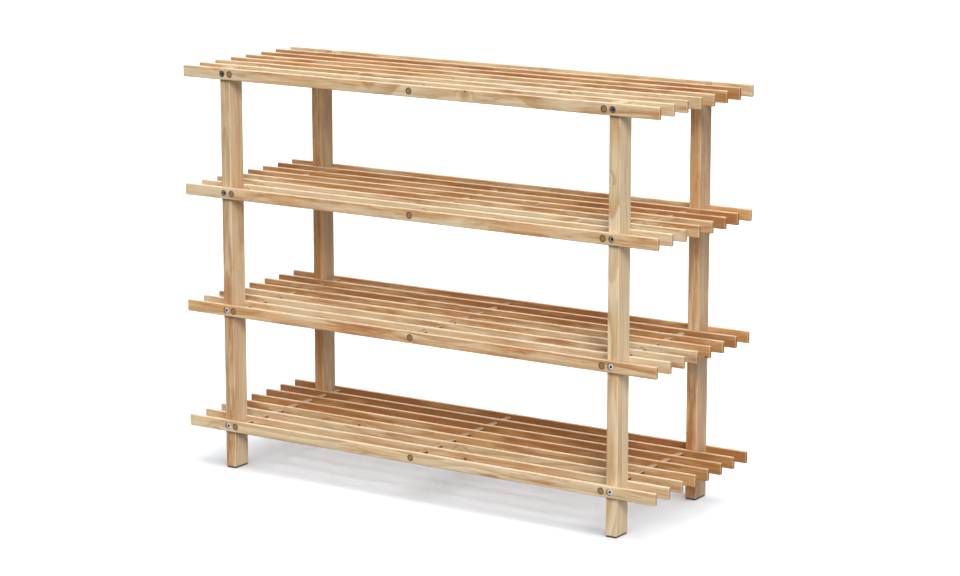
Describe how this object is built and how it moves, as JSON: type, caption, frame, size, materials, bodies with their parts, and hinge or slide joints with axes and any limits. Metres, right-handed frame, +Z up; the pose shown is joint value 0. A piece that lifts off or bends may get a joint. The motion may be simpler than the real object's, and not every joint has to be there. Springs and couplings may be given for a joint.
{
  "type": "tiered shoe rack",
  "caption": "Free-standing slatted pine shoe rack: long on-edge slats threaded on round cross dowels, carried in open tiers by slim posts, with bays between tiers for shoes.",
  "frame": {"origin": "on the floor, under the middle of the rack", "axes": "+X along the slats, +Y from the front to the back, +Z up"},
  "size_m": [0.842, 0.28, 0.632],
  "materials": {
    "slat_pine": "planed and clear-sealed softwood, satin",
    "post_pine": "planed and clear-sealed softwood, satin",
    "dowel_wood": "round dowel, end grain darkened by glue and sealer",
    "screw_steel": "zinc-plated, semi-bright",
    "pad_felt": "dark self-adhesive felt"
  },
  "bodies": {
    "root": {"tier_1_slat_1": "slat_pine", "tier_1_slat_2": "slat_pine", "tier_1_slat_3": "slat_pine", "tier_1_slat_4": "slat_pine", "tier_1_slat_5": "slat_pine", "tier_1_slat_6": "slat_pine", "tier_1_slat_7": "slat_pine", "tier_1_slat_8": "slat_pine", "tier_1_dowel_left": "dowel_wood", "tier_1_dowel_centre": "dowel_wood", "tier_1_dowel_right": "dowel_wood", "tier_1_screw_front_left": "screw_steel", "tier_1_screw_front_right": "screw_steel", "tier_2_slat_1": "slat_pine", "tier_2_slat_2": "slat_pine", "tier_2_slat_3": "slat_pine", "tier_2_slat_4": "slat_pine", "tier_2_slat_5": "slat_pine", "tier_2_slat_6": "slat_pine", "tier_2_slat_7": "slat_pine", "tier_2_slat_8": "slat_pine", "tier_2_dowel_left": "dowel_wood", "tier_2_dowel_centre": "dowel_wood", "tier_2_dowel_right": "dowel_wood", "tier_2_screw_front_left": "screw_steel", "tier_2_screw_front_right": "screw_steel", "tier_3_slat_1": "slat_pine", "tier_3_slat_2": "slat_pine", "tier_3_slat_3": "slat_pine", "tier_3_slat_4": "slat_pine", "tier_3_slat_5": "slat_pine", "tier_3_slat_6": "slat_pine", "tier_3_slat_7": "slat_pine", "tier_3_slat_8": "slat_pine", "tier_3_dowel_left": "dowel_wood", "tier_3_dowel_centre": "dowel_wood", "tier_3_dowel_right": "dowel_wood", "tier_3_screw_front_left": "screw_steel", "tier_3_screw_front_right": "screw_steel", "tier_4_slat_1": "slat_pine", "tier_4_slat_2": "slat_pine", "tier_4_slat_3": "slat_pine", "tier_4_slat_4": "slat_pine", "tier_4_slat_5": "slat_pine", "tier_4_slat_6": "slat_pine", "tier_4_slat_7": "slat_pine", "tier_4_slat_8": "slat_pine", "tier_4_dowel_left": "dowel_wood", "tier_4_dowel_centre": "dowel_wood", "tier_4_dowel_right": "dowel_wood", "tier_4_screw_front_left": "screw_steel", "tier_4_screw_front_right": "screw_steel", "post_front_left": "post_pine", "foot_pad_front_left": "pad_felt", "post_front_right": "post_pine", "foot_pad_front_right": "pad_felt", "post_rear_left": "post_pine", "foot_pad_rear_left": "pad_felt", "post_rear_right": "post_pine", "foot_pad_rear_right": "pad_felt"}
  },
  "joints": []
}
